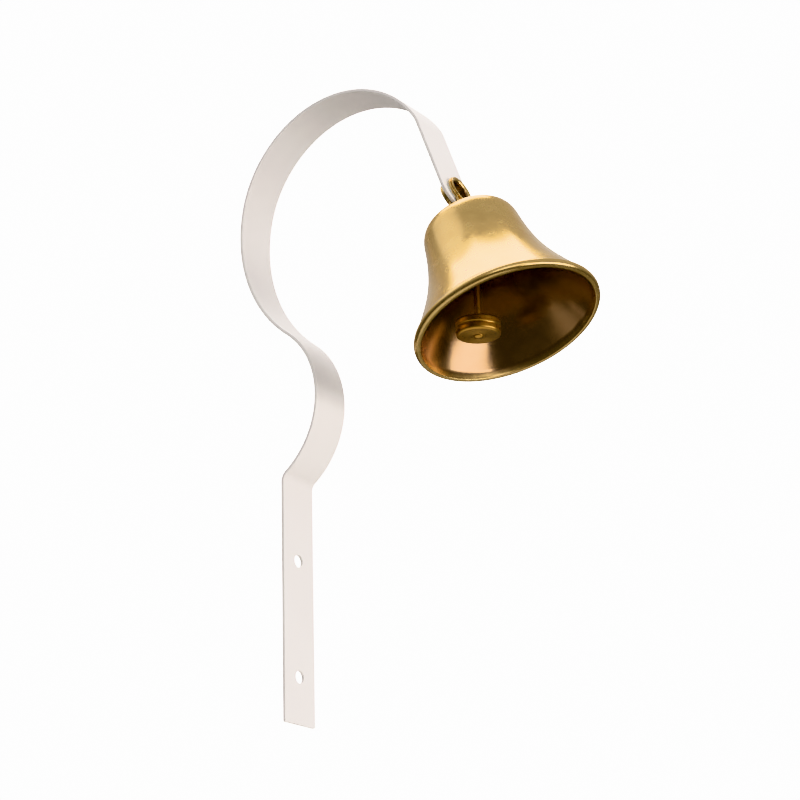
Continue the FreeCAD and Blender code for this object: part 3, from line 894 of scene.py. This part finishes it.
def weight_section():
    """Closed section: from the bore over the top, round the edge and its groove, and back."""
    bore, r, e = ROD_R + RUNNING_GAP, WEIGHT_R, WEIGHT_EDGE_R
    face_r = np.linspace(bore + 1.2, r - e - 0.3, 60)
    ripple = LATHE_RING_DEPTH * (np.cos(face_r * 2 * np.pi / LATHE_RING_SPACING) - 1)
    top = np.stack([face_r, half_height + ripple], axis=1)
    upper = np.concatenate([
        [(bore, half_height - 0.1), (bore + 0.1, half_height)], top,
        arc((r - e, half_height - e), e, 90, 0, 12),
        line((r, half_height - e - 0.05), (r, WEIGHT_GROOVE_R + 0.12), 3),
        arc((r + 0.12, 0), WEIGHT_GROOVE_R + 0.12, 95, 178, 10),
    ])
    return np.concatenate([upper, upper[::-1] * np.array([1, -1])])


weight = build_piece("turned_weight", [(around_rod(weight_section(), WEIGHT_TURNS), True, True)],
                     "clapper")
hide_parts("clapper_weight")
dress(weight, CLAPPER_BRASS)

# %% The eyebolt
EYE_ABOVE_MOUTH, EYE_R, EYE_WIRE_R = 42.0, 3.2, 1.0
THREAD_PITCH, THREAD_DEPTH = 0.5, 0.16
THREAD_ROWS_PER_PITCH, THREAD_SIDES = 10, 48
BOLT_TIP_BELOW_BASE = 0.2


def threaded_shank(foot, tip):
    """Height along rows, angle a along columns; the ridge is a triangle wave of both."""
    heights = np.linspace(foot, tip, int((tip - foot) / THREAD_PITCH * THREAD_ROWS_PER_PITCH))
    angles = np.linspace(0, 2 * np.pi, THREAD_SIDES, endpoint=False)
    height, angle = np.meshgrid(heights, angles, indexing="ij")
    phase = (height / THREAD_PITCH - angle / (2 * np.pi)) % 1
    radius = BOLT_R - THREAD_DEPTH * (1 - np.abs(2 * phase - 1))
    radius[0], radius[-1] = 0.0, 0.0
    return np.stack([radius * np.cos(angle), radius * np.sin(angle), height], axis=-1)


eye_angle = np.linspace(0, 2 * np.pi, 72, endpoint=False)[:, None, None]
eye_section = arc((EYE_R, 0), EYE_WIRE_R, 0, 345, 24)
eye_ring = np.concatenate([eye_section[:, :1] * np.cos(eye_angle),
                           eye_section[:, 1:] + 0 * eye_angle,
                           eye_section[:, :1] * np.sin(eye_angle) + EYE_ABOVE_MOUTH], axis=-1)
shank_foot = EYE_ABOVE_MOUTH + EYE_R
shank_tip = CROWN_HEIGHT + FORK_BASE_THICK - BOLT_TIP_BELOW_BASE
eyebolt = build_piece("threaded_eyebolt",
                      [(in_bell_frame(eye_ring), True, True),
                       (in_bell_frame(threaded_shank(shank_foot, shank_tip)), False, True)],
                      "bell")
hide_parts("clapper_eyebolt")
dress(eyebolt, CLAPPER_BRASS)

# %% [markdown]
# ## Pieces that stay as the model has them
# Nut and washers are already the right shape, so their own meshes stay and only get a finish.

# %% Finish the carried pieces
for node, finish in (("crown_nut", ZINC_PLATE), ("crown_washer", ZINC_PLATE),
                     ("pivot_washers", NYLON)):
    dress(frame["nodes"][node], finish)
    print(node, "is", finish.name)

# %% [markdown]
# ## Floor, light and camera
# The bell hangs in the air and is seen from a little below, so the pale floor lies well under
# the camera. The world is plain white to the camera. To everything else it is a soft grey that
# grows lighter upwards, so the metal has something calm to reflect. Four large lamps draw the
# highlights. Each is bright for its size only as far as its reflection in the gold should be:
# the one overhead gives the pale band on the waist, the one on the right shines into the mouth.

# %% Floor
FLOOR_DROP, FLOOR_SIZE, FLOOR_COLOUR = 0.45, 1.4, "#E4E2DE"
floor_mesh = bpy.data.meshes.new("floor")
floor_corners = line((-1, -1), (1, -1)).tolist() + line((1, 1), (-1, 1)).tolist()
floor_mesh.from_pydata([(x * FLOOR_SIZE / 2, y * FLOOR_SIZE / 2, cad_low[2] - FLOOR_DROP)
                        for x, y in floor_corners], [], [(0, 1, 2, 3)])
floor = bpy.data.objects.new("floor", floor_mesh)
bpy.context.scene.collection.objects.link(floor)
floor_finish, floor_tree, floor_shader = new_material("pale_studio_floor")
feed(floor_tree, floor_shader, Base_Color=linear(FLOOR_COLOUR), Roughness=0.8)
dress(floor, floor_finish)

# %% World
CAMERA_SEES, ROOM_LOW, ROOM_HIGH = 5.0, 0.14, 0.85
GREY_BELOW, GREY_ABOVE = -0.2, 0.7
world = bpy.data.worlds.new("studio")
world.use_nodes = True
bpy.context.scene.world = world
tree = world.node_tree
tree.nodes.clear()
way = add_node(tree, "ShaderNodeTexCoord", {}).outputs["Generated"]
height = add_node(tree, "ShaderNodeSeparateXYZ", {0: way}).outputs["Z"]
room = add_node(tree, "ShaderNodeMapRange",
                {"Value": height, "From Min": GREY_BELOW, "From Max": GREY_ABOVE,
                 "To Min": ROOM_LOW, "To Max": ROOM_HIGH},
                interpolation_type="SMOOTHSTEP").outputs["Result"]
is_camera = add_node(tree, "ShaderNodeLightPath", {}).outputs["Is Camera Ray"]
strength = add_node(tree, "ShaderNodeMix", {0: is_camera, 2: room, 3: CAMERA_SEES})
sky = add_node(tree, "ShaderNodeBackground",
               {"Color": (1, 1, 1, 1), "Strength": strength.outputs[0]})
add_node(tree, "ShaderNodeOutputWorld", {"Surface": sky.outputs["Background"]})

# %% Lamps
bell_centre = (mouth + 30 * bell_up) * MM


def softbox(name, azimuth, elevation, distance, size, power):
    """A lamp that faces the bell; azimuth 0 stands on the -Y side, 90 on the +X side."""
    a, e = math.radians(azimuth), math.radians(elevation)
    away = np.array([math.sin(a) * math.cos(e), -math.cos(a) * math.cos(e), math.sin(e)])
    lamp = bpy.data.lights.new(name, "AREA")
    lamp.shape, lamp.size, lamp.size_y, lamp.energy = "RECTANGLE", size[0], size[1], power
    holder = bpy.data.objects.new(name, lamp)
    holder.location = bell_centre + away * distance
    holder.rotation_euler = Vector(away).to_track_quat("Z", "Y").to_euler()
    bpy.context.scene.collection.objects.link(holder)


softbox("overhead_softbox", -118, 68, 1.3, (0.95, 0.75), 18.0)
softbox("front_softbox", -52, 42, 1.5, (1.2, 0.9), 3.0)
softbox("right_softbox", 95, -4, 1.4, (1.45, 0.32), 15.0)
softbox("low_fill", 45, 13, 1.5, (1.1, 0.4), 5.0)

# %% [markdown]
# The camera looks up at the bell from the front right with a long lens. A gentle view transform
# keeps the gold's hue in the middle tones and lets only the brightest highlights turn pale.

# %% Camera
CAMERA_AZIMUTH, CAMERA_ELEVATION, CAMERA_ROLL = 34.98, -20.17, -1.57
CAMERA_PLACE = (0.5301, -0.6825, -0.2262)
CAMERA_LENS = 101.4


def camera_axes(azimuth, elevation, roll):
    """Right, up and back of a camera that looks along -back, turned by roll about it."""
    a, e, r = np.radians([azimuth, elevation, roll])
    back = np.array([np.sin(a) * np.cos(e), -np.cos(a) * np.cos(e), np.sin(e)])
    right = np.array([np.cos(a), np.sin(a), 0])
    up = np.cross(back, right)
    return np.cos(r) * right + np.sin(r) * up, -np.sin(r) * right + np.cos(r) * up, back


camera_data = bpy.data.cameras.new("camera")
camera_data.lens, camera_data.sensor_width = CAMERA_LENS, 36.0
camera = bpy.data.objects.new("camera", camera_data)
matrix = np.eye(4)
matrix[:3, :3] = np.array(camera_axes(CAMERA_AZIMUTH, CAMERA_ELEVATION, CAMERA_ROLL)).T
matrix[:3, 3] = CAMERA_PLACE
camera.matrix_world = Matrix(matrix.tolist())
bpy.context.scene.collection.objects.link(camera)
bpy.context.scene.camera = camera
bpy.context.scene.view_settings.view_transform = "Khronos PBR Neutral"
